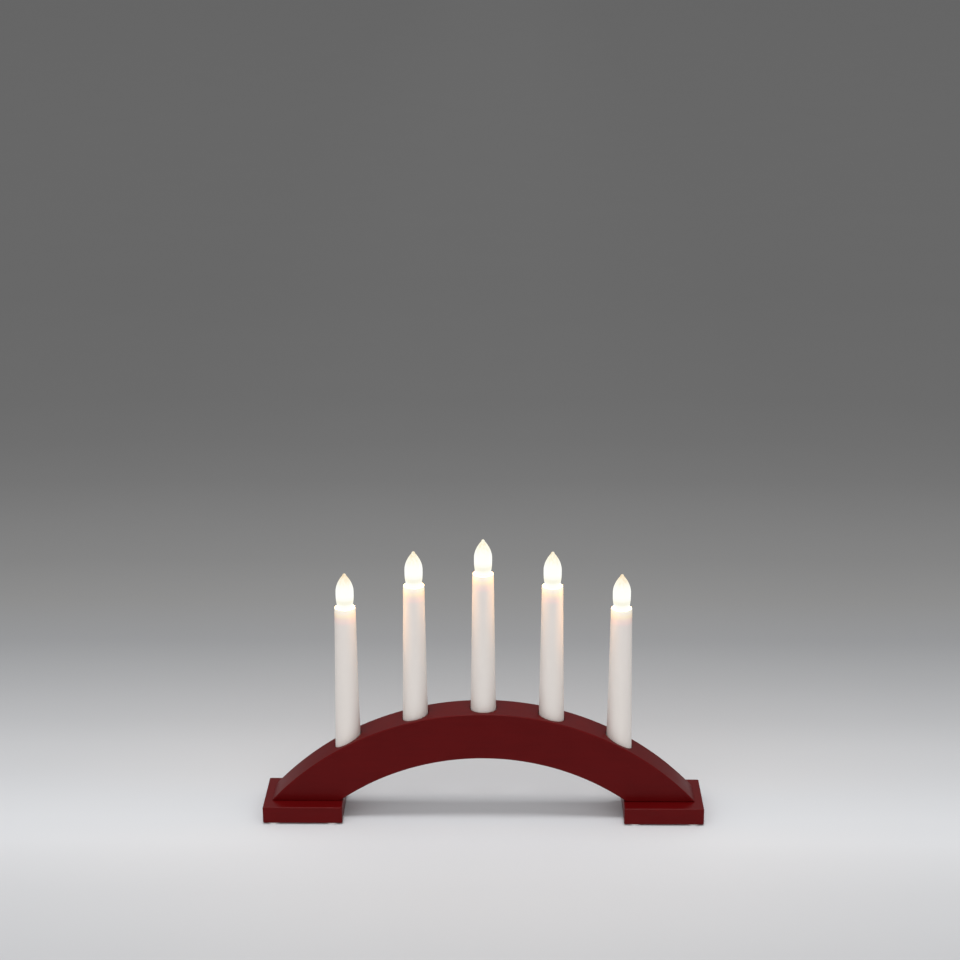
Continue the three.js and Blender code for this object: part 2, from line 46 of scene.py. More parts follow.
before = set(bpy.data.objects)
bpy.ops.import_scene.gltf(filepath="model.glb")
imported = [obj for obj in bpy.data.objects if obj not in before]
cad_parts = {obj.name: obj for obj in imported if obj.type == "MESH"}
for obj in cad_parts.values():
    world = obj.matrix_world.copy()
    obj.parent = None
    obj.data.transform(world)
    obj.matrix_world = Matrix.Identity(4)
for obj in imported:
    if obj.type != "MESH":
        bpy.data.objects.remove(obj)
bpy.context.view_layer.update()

MM = 0.001
NUMBERS = (1, 2, 3, 4, 5)
SIDES = ("left", "right")
FULL_TURN = 2 * math.pi
FIT_GAP = 0.3 * MM
MERGE_GAP = 0.001 * MM
GLAND_LIP = 2 * MM
WIRE_SPREAD = 2.2 * MM


def rim_of(number):
    """Middle of the mouth of a candle tube."""
    low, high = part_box(f"candle_{number}_tube")
    return Vector(((low.x + high.x) / 2, 0, high.z))


def middle_of(node):
    low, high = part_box(node)
    return (low + high) / 2


def size_of(node):
    low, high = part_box(node)
    return high - low


# Sizes and colours that a user would change


def length(name, description, default):
    return FloatProperty(name=name, description=description, default=default, unit="LENGTH")


def amount(name, description, default):
    return FloatProperty(name=name, description=description, default=default, min=0)


def tint(name, description, default):
    return FloatVectorProperty(
        name=name, description=description, default=default, subtype="COLOR", size=3
    )


class WoodSettings(bpy.types.PropertyGroup):
    """Sizes and paint of the arch and its feet."""

    depth: length("Arch depth", "Thickness of the arch from front to back", size_of("arch").y)
    crown: length("Crown height", "Height of the wood at the middle of the arch", 39.2 * MM)
    outer_ledge: length("Outer ledge", "Length of foot left free outside the arch", 6.6 * MM)
    inner_ledge: length("Inner ledge", "Length of foot left free inside the arch", 2.1 * MM)
    edge: length("Eased edge", "Radius of the sanded edges of the arch and the feet", 1.0 * MM)
    cover_thickness: length("Cover thickness", "Thickness of the strip over the groove", 2.2 * MM)
    groove_depth: length("Groove depth", "Depth of the wiring groove above its cover", 5.5 * MM)
    groove_width: length("Groove width", "Width of the wiring groove", 8 * MM)
    wire_bore: length("Wire bore", "Radius of the hole from a candle seat to the groove", 6 * MM)
    screw_spacing: length("Screw spacing", "Distance between the two screws of a foot", 20 * MM)
    paint: tint("Paint", "Colour of the satin paint", (0.112, 0.0022, 0.0028))


class CandleSettings(bpy.types.PropertyGroup):
    """Sizes and finish of the candle tubes and their lampholders."""

    wall: length("Wall", "Wall of the candle tube", 1.3 * MM)
    rim_radius: length("Rim radius", "Outer radius of the tube at its mouth", 8.5 * MM)
    spigot_length: length("Spigot length", "Length of the hollow spigot under the tube", 10 * MM)
    spigot_radius: length("Spigot radius", "Outer radius of the spigot", 5.7 * MM)
    plastic: tint("Plastic", "Colour of the candle tubes", (0.905, 0.846, 0.796))
    # Strength of the painted glow: the emission near the mouth of each tube.
    glow: amount("Glow", "Strength of the lamplight that shows through the top of the tube", 1.0)


class LampSettings(bpy.types.PropertyGroup):
    """Sizes and light of the screw-in lamps."""

    glass_radius: length("Glass radius", "Radius of the glass at its widest place", 7.2 * MM)
    glass_height: length(
        "Glass height", "Height above the rim, before its point is blunted", 29 * MM
    )
    widest_height: length("Widest height", "Height of the widest place above the rim", 13 * MM)
    thread_pitch: length("Thread pitch", "Rise of the rolled thread in one turn", 1.814 * MM)
    thread_depth: length("Thread depth", "Depth of the rolled thread of the cap", 0.42 * MM)
    light: tint("Light", "Colour of the light that each lamp gives", (1.0, 0.53, 0.20))
    power: amount("Power", "Light that each lamp gives to what stands around it, in watts", 0.066)


class StageSettings(bpy.types.PropertyGroup):
    """Camera, lights and floor."""

    lens: amount("Lens", "Focal length of the camera in millimetres", 76.2165)
    overhead: amount("Overhead light", "Light on the floor from the soft sun overhead", 0.38)
    front: amount("Front light", "Light from the broad sun behind the camera", 0.27)
    surround: amount("Surrounding light", "Even light from all around", 0.47)
    backdrop: amount("Backdrop", "Brightness of what lies beyond the far floor", 0.138)
    ceiling: amount("Ceiling", "Brightness of the upper surroundings in reflections", 0.50)
    floor_radius: length("Floor radius", "Radius of the floor", 60)
    floor_sides: IntProperty(
        name="Floor sides", description="Number of sides of the floor's outline", default=96, min=3
    )


# Selecting, drawing and turning


def deselect_all():
    if bpy.context.object and bpy.context.object.mode != "OBJECT":
        bpy.ops.object.mode_set(mode="OBJECT")
    bpy.ops.object.select_all(action="DESELECT")


def make_active(obj):
    """Leave obj as the only selected object and the active one."""
    deselect_all()
    obj.select_set(True)
    bpy.context.view_layer.objects.active = obj


def start_at(name, place):
    """A new mesh in edit mode that holds a single selected point at a place."""
    deselect_all()
    bpy.ops.mesh.primitive_plane_add(size=MM, location=place)
    obj = bpy.context.object
    obj.name = name
    bpy.ops.object.mode_set(mode="EDIT")
    bpy.ops.mesh.select_all(action="SELECT")
    bpy.ops.mesh.merge(type="CENTER")
    return obj


def extend_by(step):
    """Draw an edge from the selected point."""
    bpy.ops.mesh.extrude_vertices_move(TRANSFORM_OT_translate={"value": step})


def close_up():
    """Merge the doubled points of the mesh in edit mode and point its faces outwards."""
    bpy.ops.mesh.select_all(action="SELECT")
    bpy.ops.mesh.remove_doubles(threshold=MERGE_GAP)
    bpy.ops.mesh.normals_make_consistent(inside=False)
    bpy.ops.object.mode_set(mode="OBJECT")


def turn(name, profile, foot=(0, 0, 0), sides=96):
    """Turn a solid about the vertical through foot from a profile of (radius, height) points."""
    foot = Vector(foot)
    points = [Vector((radius, 0, height)) for radius, height in profile]
    obj = start_at(name, foot + points[0])
    for start, end in zip(points, points[1:]):
        extend_by(end - start)
    bpy.ops.mesh.select_all(action="SELECT")
    bpy.ops.mesh.spin(steps=sides, angle=FULL_TURN, center=foot, axis=(0, 0, 1))
    close_up()
    make_active(obj)
    bpy.ops.object.transform_apply(location=True, rotation=False, scale=False)
    return obj


def rounding(start, corner, end, steps):
    """Points of the curve that replaces a corner."""
    shares = [i / steps for i in range(steps + 1)]
    return [start * (1 - t) ** 2 + corner * 2 * t * (1 - t) + end * t**2 for t in shares]


def eased(profile, radius, steps=4, closed=False):
    """The profile with its corners rounded, as far as the neighbouring points leave room."""
    points = [Vector(point) for point in profile]
    count = len(points)
    corners = range(count) if closed else range(1, count - 1)
    result = [] if closed else [points[0]]
    nearly_straight, room = math.radians(160), 0.45
    for i in corners:
        corner = points[i]
        before = points[i - 1] - corner
        after = points[(i + 1) % count] - corner
        bend = before.angle(after)
        if bend > nearly_straight:
            result.append(corner)
            continue
        reach = min(radius / math.tan(bend / 2), room * before.length, room * after.length)
        start = corner + before.normalized() * reach
        end = corner + after.normalized() * reach
        result += rounding(start, corner, end, steps)
    result.append(result[0] if closed else points[-1])
    return [tuple(point) for point in result]


def arc_through(half_span, bottom, top):
    """(radius, height of the centre) of the arc that is half_span wide at the bottom."""
    rise = top - bottom
    radius = (half_span**2 + rise**2) / (2 * rise)
    return radius, top - radius


def band(name, outer, inner, bottom, half_depth):
    """A curved bar between two arcs about the Y direction, cut off level at the bottom."""
    outer_angle = math.acos((bottom - outer[1]) / outer[0])
    inner_angle = math.acos((bottom - inner[1]) / inner[0])
    outer_half = outer[0] * math.sin(outer_angle)
    inner_half = inner[0] * math.sin(inner_angle)
    front = -half_depth
    obj = start_at(name, (-outer_half, front, bottom))
    for angle, height in ((-2 * outer_angle, outer[1]), (2 * inner_angle, inner[1])):
        centre = (0, front, height)
        bpy.ops.mesh.spin(steps=96, angle=angle, center=centre, axis=(0, 1, 0))
        extend_by((inner_half - outer_half, 0, 0))
    bpy.ops.mesh.select_all(action="SELECT")
    bpy.ops.mesh.remove_doubles(threshold=MERGE_GAP)
    bpy.ops.mesh.select_all(action="SELECT")
    bpy.ops.mesh.edge_face_add()
    backwards = (0, 2 * half_depth, 0)
    bpy.ops.mesh.extrude_region_move(TRANSFORM_OT_translate={"value": backwards})
    close_up()
    return obj


def block(name, size, place):
    """A box of a size at a place."""
    deselect_all()
    bpy.ops.mesh.primitive_cube_add(size=1, location=place, scale=size)
    obj = bpy.context.object
    obj.name = name
    bpy.ops.object.transform_apply(location=False, rotation=False, scale=True)
    return obj


def rod(name, radius, low, high, place, sides=64):
    """An upright round bar between two heights."""
    deselect_all()
    middle = (place[0], place[1], (low + high) / 2)
    bpy.ops.mesh.primitive_cylinder_add(
        vertices=sides, radius=radius, depth=high - low, location=middle
    )
    obj = bpy.context.object
    obj.name = name
    return obj


def edit_edges(obj):
    """Edit obj by its edges, with none of them selected."""
    make_active(obj)
    bpy.ops.object.mode_set(mode="EDIT")
    bpy.ops.mesh.select_mode(type="EDGE")
    bpy.ops.mesh.select_all(action="DESELECT")


def round_selected(radius, segments=4):
    """Round the selected edges of the mesh in edit mode."""
    bpy.ops.mesh.bevel(offset=radius, segments=segments, profile=0.5, clamp_overlap=False)
    bpy.ops.mesh.select_mode(type="VERT")
    close_up()


def ease_edges(obj, radius, segments=4):
    """Round every sharp edge."""
    edit_edges(obj)
    bpy.ops.mesh.edges_select_sharp(sharpness=math.radians(30))
    round_selected(radius, segments)


def discard(obj):
    bpy.data.objects.remove(obj, do_unlink=True)


def carve(obj, tool, operation="DIFFERENCE"):
    """Cut a tool's shape out of obj, or join it on, and remove the tool."""
    make_active(obj)
    modifier = obj.modifiers.new("carve", "BOOLEAN")
    modifier.operation = operation
    modifier.solver = "EXACT"
    modifier.object = tool
    bpy.ops.object.modifier_apply(modifier=modifier.name)
    discard(tool)


def roll_thread(obj, foot, low, high, pitch, depth, reach):
    """Roll a right-hand round thread into a wall between two heights and two radii."""
    fade = pitch / 2
    for vertex in obj.data.vertices:
        place = obj.matrix_world @ vertex.co
        x, y, z = place.x - foot[0], place.y - foot[1], place.z
        radius = math.hypot(x, y)
        if radius < 1e-6 or radius > reach[1] or radius < reach[0] or not low < z < high:
            continue
        share = min(1, (z - low) / fade, (high - z) / fade)
        phase = FULL_TURN * (z / pitch) - math.atan2(y, x)
        inwards = depth * share * (0.5 - 0.5 * math.cos(phase))
        factor = (radius - inwards) / radius
        vertex.co.x += x * (factor - 1)
        vertex.co.y += y * (factor - 1)
    obj.data.update()


def copy_to(obj, shift=(0, 0, 0)):
    """A copy of obj with its own mesh, moved by a shift."""
    make_active(obj)
    bpy.ops.object.duplicate(linked=False)
    copy = bpy.context.object
    copy.location += Vector(shift)
    return copy


def settle(obj, sharpness=35):
    """Put obj's place into its mesh and smooth its round faces."""
    make_active(obj)
    bpy.ops.object.transform_apply(location=True, rotation=True, scale=True)
    bpy.ops.object.shade_smooth_by_angle(angle=math.radians(sharpness))


def install(obj, name, finish, slot, *nodes, body="stand"):
    """Name a settled piece, give it its finish and let it stand for its CAD nodes."""
    if not obj.data.polygons:
        raise RuntimeError(f"{name} came out empty")
    obj.name = name
    obj.data.name = name
    obj.data.materials.clear()
    obj.data.materials.append(finish_named(finish))
    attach(obj, body)
    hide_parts(*nodes)


def install_painted(obj, name, node):
    """Install a wooden piece whose flat faces stay flat beside its eased edges."""
    settle(obj, 30)
    modifier = obj.modifiers.new("flat faces", "WEIGHTED_NORMAL")
    modifier.keep_sharp = True
    modifier.weight = 100
    bpy.ops.object.modifier_apply(modifier=modifier.name)
    install(obj, name, "satin_paint", "painted_wood", node)


def in_mm(points):
    """A profile that is written in millimetres."""
    return [(radius * MM, height * MM) for radius, height in points]


def column(radius, start, end, steps):
    """Evenly spaced points of a wall that a thread is rolled into."""
    return [(radius, start + (end - start) * i / steps) for i in range(steps + 1)]


def dome(radius, rise, middle, start, step):
    """Points of a quarter ellipse from near its side up to near its top, in millimetres."""
    angles = [math.radians(degrees) for degrees in range(start, 90, step)]
    return [(radius * math.cos(angle), middle + rise * math.sin(angle)) for angle in angles]


def copy_to_candles(master, name, finish, slot, node, body="stand", sharpness=40):
    """Install a copy of a piece of the third candle at each candle, and remove the master."""
    pieces = []
    for number in NUMBERS:
        piece = copy_to(master, rim_of(number) - rim_of(3))
        settle(piece, sharpness)
        if finish in ("candle_plastic", "lit_glass"):
            mark_heights(piece, rim_of(number).z)
        node_name, body_name = node.format(number), body.format(number)
        install(piece, f"{name}_{number}", finish, slot, node_name, body=body_name)
        pieces.append(piece)
    discard(master)
    return pieces


def mark_heights(obj, level):
    """Store each point's height above a level, for finishes that change along a piece."""
    heights = obj.data.attributes.new("above_rim", "FLOAT", "POINT")
    for vertex in obj.data.vertices:
        heights.data[vertex.index].value = vertex.co.z - level


# Finishes


class NodeSet:
    """Adds nodes to a tree and links them."""

    def __init__(self, tree):
        self.tree = tree

    def add(self, kind, **values):
        """Add a node and set sockets of it, with underscores for the spaces of their names."""
        node = self.tree.nodes.new(kind)
        for key, value in values.items():
            node.inputs[key.replace("_", " ")].default_value = value
        return node

    def link(self, source, target):
        self.tree.links.new(source, target)

    def feed(self, source, socket):
        """Link a socket's source to it, or set its value."""
        if isinstance(source, bpy.types.NodeSocket):
            self.link(source, socket)
        elif isinstance(source, (int, float)):
            socket.default_value = source
        else:
            socket.default_value = (*source, 1)

    def split(self, vector):
        """The X, Y and Z of a vector."""
        node = self.add("ShaderNodeSeparateXYZ")
        self.link(vector, node.inputs["Vector"])
        return node.outputs

    def ramp(self, value, stops):
        """A colour that changes with a value, from stops of (value, colour)."""
        node = self.add("ShaderNodeValToRGB")
        elements = node.color_ramp.elements
        while len(elements) < len(stops):
            elements.new(0.5)
        for element, (position, colour) in zip(elements, stops):
            element.position = position
            element.color = (*colour, 1)
        self.link(value, node.inputs["Fac"])
        return node.outputs["Color"]

    def spread(self, value, low, high, to_low=0.0, to_high=1.0):
        """Map a value from one range to another, and hold it there."""
        node = self.add(
            "ShaderNodeMapRange", From_Min=low, From_Max=high, To_Min=to_low, To_Max=to_high
        )
        self.link(value, node.inputs["Value"])
        return node.outputs["Result"]

    def mix(self, factor, first, second, blend="MIX"):
        node = self.add("ShaderNodeMix")
        node.data_type = "RGBA"
        node.blend_type = blend
        for source, socket in zip((factor, first, second), (0, 6, 7)):
            self.feed(source, node.inputs[socket])
        return node.outputs[2]

    def times(self, first, second):
        """One colour multiplied by another."""
        return self.mix(1.0, first, second, "MULTIPLY")

    def combine(self, operation, first, second=0):
        node = self.add("ShaderNodeMath")
        node.operation = operation
        self.feed(first, node.inputs[0])
        self.feed(second, node.inputs[1])
        return node.outputs["Value"]


class Finish(NodeSet):
    """A node material around one Principled shader, read on object coordinates."""

    def __init__(self, name, **values):
        self.material = bpy.data.materials.new(name)
        self.material.use_nodes = True
        super().__init__(self.material.node_tree)
        self.shader = self.tree.nodes["Principled BSDF"]
        self.place = self.add("ShaderNodeTexCoord").outputs["Object"]
        for key, value in values.items():
            self.shader.inputs[key.replace("_", " ")].default_value = value

    def noise(self, scale, detail=2.0, stretch=(1, 1, 1)):
        mapping = self.add("ShaderNodeMapping", Scale=stretch)
        self.link(self.place, mapping.inputs["Vector"])
        node = self.add("ShaderNodeTexNoise", Scale=scale, Detail=detail, Roughness=0.5)
        self.link(mapping.outputs["Vector"], node.inputs["Vector"])
        return node.outputs["Fac"]

    def height(self):
        """Height above the rim, which mark_heights stored."""
        node = self.add("ShaderNodeAttribute")
        node.attribute_name = "above_rim"
        return node.outputs["Fac"]

    def bump(self, height, strength, distance):
        node = self.add("ShaderNodeBump", Strength=strength, Distance=distance)
        self.link(height, node.inputs["Height"])
        self.link(node.outputs["Normal"], self.shader.inputs["Normal"])

    def colour(self, source):
        self.link(source, self.shader.inputs["Base Color"])

    def tones(self, pattern, colour, darker, lighter):
        """A colour that a pattern makes darker and lighter."""
        return self.mix(pattern, scaled(colour, darker), scaled(colour, lighter))

    def roughness(self, pattern, low, high):
        """Roughness that a pattern moves between two values."""
        self.link(self.spread(pattern, 0.3, 0.7, low, high), self.shader.inputs["Roughness"])

    def glow(self, source, strength):
        self.link(source, self.shader.inputs["Emission Color"])
        self.shader.inputs["Emission Strength"].default_value = strength


def scaled(colour, factor):
    return tuple(channel * factor for channel in colour)


def satin_paint(colour):
    """Sprayed satin paint over sanded wood: slight clouds, faint grain and orange peel."""
    finish = Finish("satin_paint", IOR=1.2)
    clouds = finish.noise(45, 3)
    grain = finish.noise(30, 4, stretch=(1, 14, 14))
    peel = finish.noise(1400, 1)
    grain_tone = finish.ramp(grain, ((0.35, (0.93, 0.93, 0.93)), (0.65, (1, 1, 1))))
    finish.colour(finish.times(finish.tones(clouds, colour, 0.90, 1.10), grain_tone))
    finish.roughness(clouds, 0.29, 0.37)
    coarse = finish.combine("MULTIPLY", grain, 0.7)
    fine = finish.combine("MULTIPLY", peel, 0.3)
    finish.bump(finish.combine("ADD", coarse, fine), 0.25, 0.08 * MM)
    return finish.material


def glowing_plastic(colour, strength):
    """White moulded plastic with a painted glow near its mouth, in place of the lamplight that
    shines through it.
    """
    finish = Finish("candle_plastic", IOR=1.46)
    clouds = finish.noise(60, 2)
    finish.colour(finish.tones(clouds, colour, 0.985, 1.015))
    finish.roughness(clouds, 0.36, 0.42)
    finish.bump(finish.noise(700, 2), 0.12, 0.05 * MM)
    # Painted glow: emission that is strongest at the rim and fades out within about 17 mm below
    # it, in place of the lamplight in the plastic.
    drop = finish.combine("MULTIPLY", finish.height(), -1 / (80 * MM))
    tones = (
        (0.000, (0.290, 0.290, 0.190)),
        (0.017, (0.260, 0.245, 0.150)),
        (0.038, (0.270, 0.210, 0.105)),
        (0.060, (0.265, 0.155, 0.015)),
        (0.081, (0.225, 0.105, 0.000)),
        (0.102, (0.150, 0.038, 0.000)),
        (0.134, (0.085, 0.006, 0.000)),
        (0.166, (0.015, 0.000, 0.000)),
        (0.209, (0.006, 0.000, 0.000)),
        (0.700, (0.000, 0.000, 0.000)),
    )
    finish.glow(finish.ramp(drop, tones), strength)
    return finish.material


def lit_glass():
    """Lit glass: white at its belly, duller at its neck with painted shade, streaked and creamy at
    its tip.
    """
    finish = Finish("lit_glass", Base_Color=(0.05, 0.048, 0.04, 1), Roughness=0.08, IOR=1.5)
    height = finish.height()
    low, high = -2 * MM, 29 * MM
    # Painted shade: the duller band from 4.6 to 6.2 mm above the rim stands in for the tube's far
    # rim, seen through the glass.
    tones = (
        (-2.0, (0.94, 0.96, 0.88)),
        (3.0, (0.95, 0.96, 0.87)),
        (4.6, (0.89, 0.87, 0.73)),
        (6.2, (0.89, 0.87, 0.73)),
        (8.0, (0.96, 0.95, 0.86)),
        (10.5, (0.96, 0.98, 0.93)),
        (18.0, (0.97, 0.98, 0.92)),
        (21.0, (0.97, 0.97, 0.87)),
        (24.5, (0.97, 0.95, 0.80)),
        (29.0, (0.96, 0.93, 0.76)),
    )
    tone = finish.ramp(
        finish.spread(height, low, high),
        [((level * MM - low) / (high - low), colour) for level, colour in tones],
    )
    streaks = finish.noise(620, 3, stretch=(1, 1, 0.05))
    upper = finish.spread(height, 17 * MM, 26 * MM)
    shade = finish.combine("MULTIPLY", upper, finish.spread(streaks, 0.40, 0.64))
    glow = finish.mix(shade, tone, finish.times(tone, (0.95, 0.86, 0.72)))
    from_middle = finish.combine("ABSOLUTE", finish.split(finish.place)["X"])
    outer = finish.spread(from_middle, 30 * MM, 111 * MM)
    warmer = finish.combine("MULTIPLY", outer, finish.spread(height, 20 * MM, 28 * MM))
    glow = finish.mix(warmer, glow, finish.times(glow, (0.96, 0.84, 0.76)))
    finish.glow(glow, 1.0)
    finish.bump(streaks, 0.1, 0.05 * MM)
    return finish.material


def plain_metal(name, colour, low_roughness, high_roughness):
    """Rolled or drawn metal with fine drawing marks and a few duller clouds."""
    finish = Finish(name, Metallic=1.0)
    clouds = finish.noise(260, 3)
    marks = finish.noise(900, 2, stretch=(1, 1, 0.1))
    finish.colour(finish.tones(clouds, colour, 0.86, 1.06))
    finish.roughness(clouds, low_roughness, high_roughness)
    finish.bump(marks, 0.15, 0.03 * MM)
    return finish.material


def plain_plastic(name, colour, roughness, texture_scale=900):
    """Moulded plastic or rubber with a slight texture."""
    finish = Finish(name)
    clouds = finish.noise(180, 2)
    finish.colour(finish.tones(clouds, colour, 0.96, 1.03))
    finish.roughness(clouds, roughness - 0.05, roughness + 0.05)
    finish.bump(finish.noise(texture_scale, 2), 0.2, 0.06 * MM)
    return finish.material


def clear_glass():
    """Clear glass of the stem, with faint drawing lines."""
    finish = Finish("clear_glass", Transmission_Weight=1.0, IOR=1.5)
    lines = finish.noise(800, 2, stretch=(1, 1, 0.1))
    finish.colour(finish.mix(lines, (0.96, 0.97, 0.96), (1.0, 1.0, 1.0)))
    finish.roughness(lines, 0.02, 0.08)
    return finish.material


def hot_wire():
    """Glowing tungsten with hotter and cooler places along it."""
    light = (1.0, 0.62, 0.28)
    finish = Finish("hot_wire", Metallic=1.0, Roughness=0.5)
    spots = finish.noise(1500, 2)
    finish.colour(finish.mix(spots, (0.5, 0.42, 0.35), (0.62, 0.55, 0.48)))
    finish.glow(finish.mix(spots, scaled(light, 0.8), light), 8.0)
    return finish.material


PLASTICS = {
    "holder_plastic": ((0.75, 0.71, 0.62), 0.5),
    "pad_rubber": ((0.84, 0.84, 0.81), 0.65, 1500),
    "gland_plastic": ((0.74, 0.72, 0.66), 0.42),
    "wire_insulation": ((0.74, 0.72, 0.66), 0.48),
    "dark_glass": ((0.012, 0.012, 0.016), 0.15, 400),
}
METALS = {
    "rolled_brass": ((0.72, 0.49, 0.20), 0.22, 0.38),
    "soft_solder": ((0.60, 0.60, 0.60), 0.35, 0.5),
    "zinc_steel": ((0.62, 0.62, 0.60), 0.28, 0.42),
}
_finishes = {}


def make_finish(name):
    scene = bpy.context.scene
    if name in PLASTICS:
        return plain_plastic(name, *PLASTICS[name])
    if name in METALS:
        return plain_metal(name, *METALS[name])
    if name == "satin_paint":
        return satin_paint(scene.candlestick_wood.paint)
    if name == "candle_plastic":
        candle = scene.candlestick_candle
        return glowing_plastic(candle.plastic, candle.glow)
    return {"lit_glass": lit_glass, "clear_glass": clear_glass, "hot_wire": hot_wire}[name]()


def finish_named(name):
    """Each finish is made once, when it is first asked for."""
    if name not in _finishes:
        _finishes[name] = make_finish(name)
    return _finishes[name]


# Shared places


def seat_height():
    """Top of the feet, where the arch stands."""
    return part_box("foot_left")[1].z


def outer_arc(wood):
    low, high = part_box("arch")
    half_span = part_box("foot_right")[1].x - wood.outer_ledge
    return arc_through(half_span, low.z, high.z)


def inner_arc(wood):
    low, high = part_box("arch")
    half_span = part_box("foot_right")[0].x + wood.inner_ledge
    return arc_through(half_span, low.z, high.z - wood.crown)


def grown(arc, distance):
    return arc[0] + distance, arc[1]


def arc_height(arc, x):
    return arc[1] + math.sqrt(arc[0] ** 2 - x**2)


def screw_places(wood, side):
    """Middle of each screw of a foot."""
    middle = middle_of(f"foot_{side}").x
    return [middle - wood.screw_spacing / 2, middle + wood.screw_spacing / 2]


def seat_radius(number):
    """Radius of the hole that takes a candle tube."""
    low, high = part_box(f"candle_{number}_tube")
    return (high.x - low.x) / 2 + FIT_GAP


# Operators


class CANDLESTICK_OT_arch(bpy.types.Operator):
    """Model the wooden arch with its candle seats and groove, the cover strip and its tacks"""

    bl_idname = "candlestick.arch"
    bl_label = "Arch and groove cover"

    def execute(self, context):
        wood = context.scene.candlestick_wood
        outer, inner = outer_arc(wood), inner_arc(wood)
        bottom = seat_height()
        arch = band("arch_work", outer, inner, bottom, wood.depth / 2)
        ease_edges(arch, wood.edge)
        self.cut_groove(arch, wood, inner)
        for number in NUMBERS:
            self.bore_seat(arch, wood, inner, number)
            self.ease_mouth(arch, outer, number)
        self.bore_gland_hole(arch)
        pilot_radius, pilot_top = 1.5 * MM, bottom + 11.3 * MM
        for side in SIDES:
            for x in screw_places(wood, side):
                carve(arch, rod("pilot", pilot_radius, bottom - MM, pilot_top, (x, 0), 24))
        install_painted(arch, "wooden_arch", "arch")
        self.add_cover(wood, inner, bottom)
        self.add_tacks(inner)
        return {"FINISHED"}

    def cut_groove(self, arch, wood, inner):
        """The rebate for the cover and the deeper groove for the wires."""
        beyond = 2 * MM
        low = seat_height() - beyond
        below = grown(inner, -beyond)
        rebate_roof = grown(inner, wood.cover_thickness + FIT_GAP)
        groove_roof = grown(rebate_roof, wood.groove_depth)
        cover_half = size_of("groove_cover").y / 2
        carve(arch, band("rebate", rebate_roof, below, low, cover_half + FIT_GAP))
        groove = band("groove", groove_roof, below, low, wood.groove_width / 2)
        reach = rim_of(5).x + wood.wire_bore
        for side in (-1, 1):
            self.trim(groove, (side * reach, 0, 0), (side, 0, 0))
        carve(arch, groove)
        size = (2 * reach, wood.groove_width, 2 * wood.groove_depth)
        carve(arch, block("level", size, (0, 0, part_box("arch")[0].z)))

    def trim(self, obj, place, normal):
        """Cut off what lies beyond a plane and close the cut."""
        make_active(obj)
        bpy.ops.object.mode_set(mode="EDIT")
        bpy.ops.mesh.select_all(action="SELECT")
        bpy.ops.mesh.bisect(plane_co=place, plane_no=normal, clear_outer=True, use_fill=True)
        close_up()

    def bore_seat(self, arch, wood, inner, number):
        """The stepped hole that takes a candle tube and its spigot."""
        spigot_length = bpy.context.scene.candlestick_candle.spigot_length
        place = rim_of(number)
        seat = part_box(f"candle_{number}_tube")[0].z + spigot_length - FIT_GAP
        groove_roof = grown(inner, wood.cover_thickness + FIT_GAP + wood.groove_depth)
        wire_bottom = arc_height(groove_roof, abs(place.x) + wood.wire_bore) - MM
        above_arch = seat + 40 * MM
        carve(arch, rod("wire_bore", wood.wire_bore, wire_bottom, seat + MM, place))
        carve(arch, rod("seat_bore", seat_radius(number), seat, above_arch, place, 96))

    def ease_mouth(self, arch, outer, number):
        """Round the edge where the seat comes out of the top of the arch."""
        place = rim_of(number)
        radius = seat_radius(number)
        edit_edges(arch)
        bpy.ops.object.mode_set(mode="OBJECT")
        on_mouth = set()
        for vertex in arch.data.vertices:
            point = arch.matrix_world @ vertex.co
            off_bore = math.hypot(point.x - place.x, point.y) - radius
            off_arc = math.hypot(point.x, point.z - outer[1]) - outer[0]
            if abs(off_bore) < 0.02 * MM and abs(off_arc) < 0.03 * MM:
                on_mouth.add(vertex.index)
        for edge in arch.data.edges:
            edge.select = on_mouth.issuperset(edge.vertices)
        bpy.ops.object.mode_set(mode="EDIT")
        round_selected(0.9 * MM)

    def bore_gland_hole(self, arch):
        gland = middle_of("cord_gland")
        neck_radius = size_of("cord_gland").x / 2 - GLAND_LIP + FIT_GAP
        depth = 20 * MM
        hole = rod("gland_hole", neck_radius, 0, depth, (0, 0), 48)
        hole.rotation_euler = (math.radians(-90), 0, 0)
        hole.location = (gland.x, depth / 2, gland.z)
        carve(arch, hole)

    def add_cover(self, wood, inner, bottom):
        roof = grown(inner, wood.cover_thickness)
        half_width = size_of("groove_cover").y / 2
        cover = band("cover_work", roof, inner, bottom + 0.1 * MM, half_width)
        ease_edges(cover, 0.3 * MM, 2)
        install_painted(cover, "groove_strip", "groove_cover")

    def add_tacks(self, inner):
        """Round-headed tacks that hold the cover strip."""
        profile = [(0, 5.5), (0.35, 4.6), (0.5, 4.0), (0.5, 0.05), (2.1, 0)]
        profile += [(2.0, -0.2), (1.5, -0.45), (0.8, -0.6), (0, -0.65)]
        master = turn("tack", in_mm(profile), sides=32)
        for index, degrees in enumerate((-31, -19, -7, 7, 19, 31), 1):
            angle = math.radians(degrees)
            tack = copy_to(master)
            tack.rotation_euler = (0, angle, 0)
            height = inner[1] + inner[0] * math.cos(angle)
            tack.location = (inner[0] * math.sin(angle), 0, height)
            settle(tack)
            install(tack, f"cover_tack_{index}", "zinc_steel", "brass")
        discard(master)


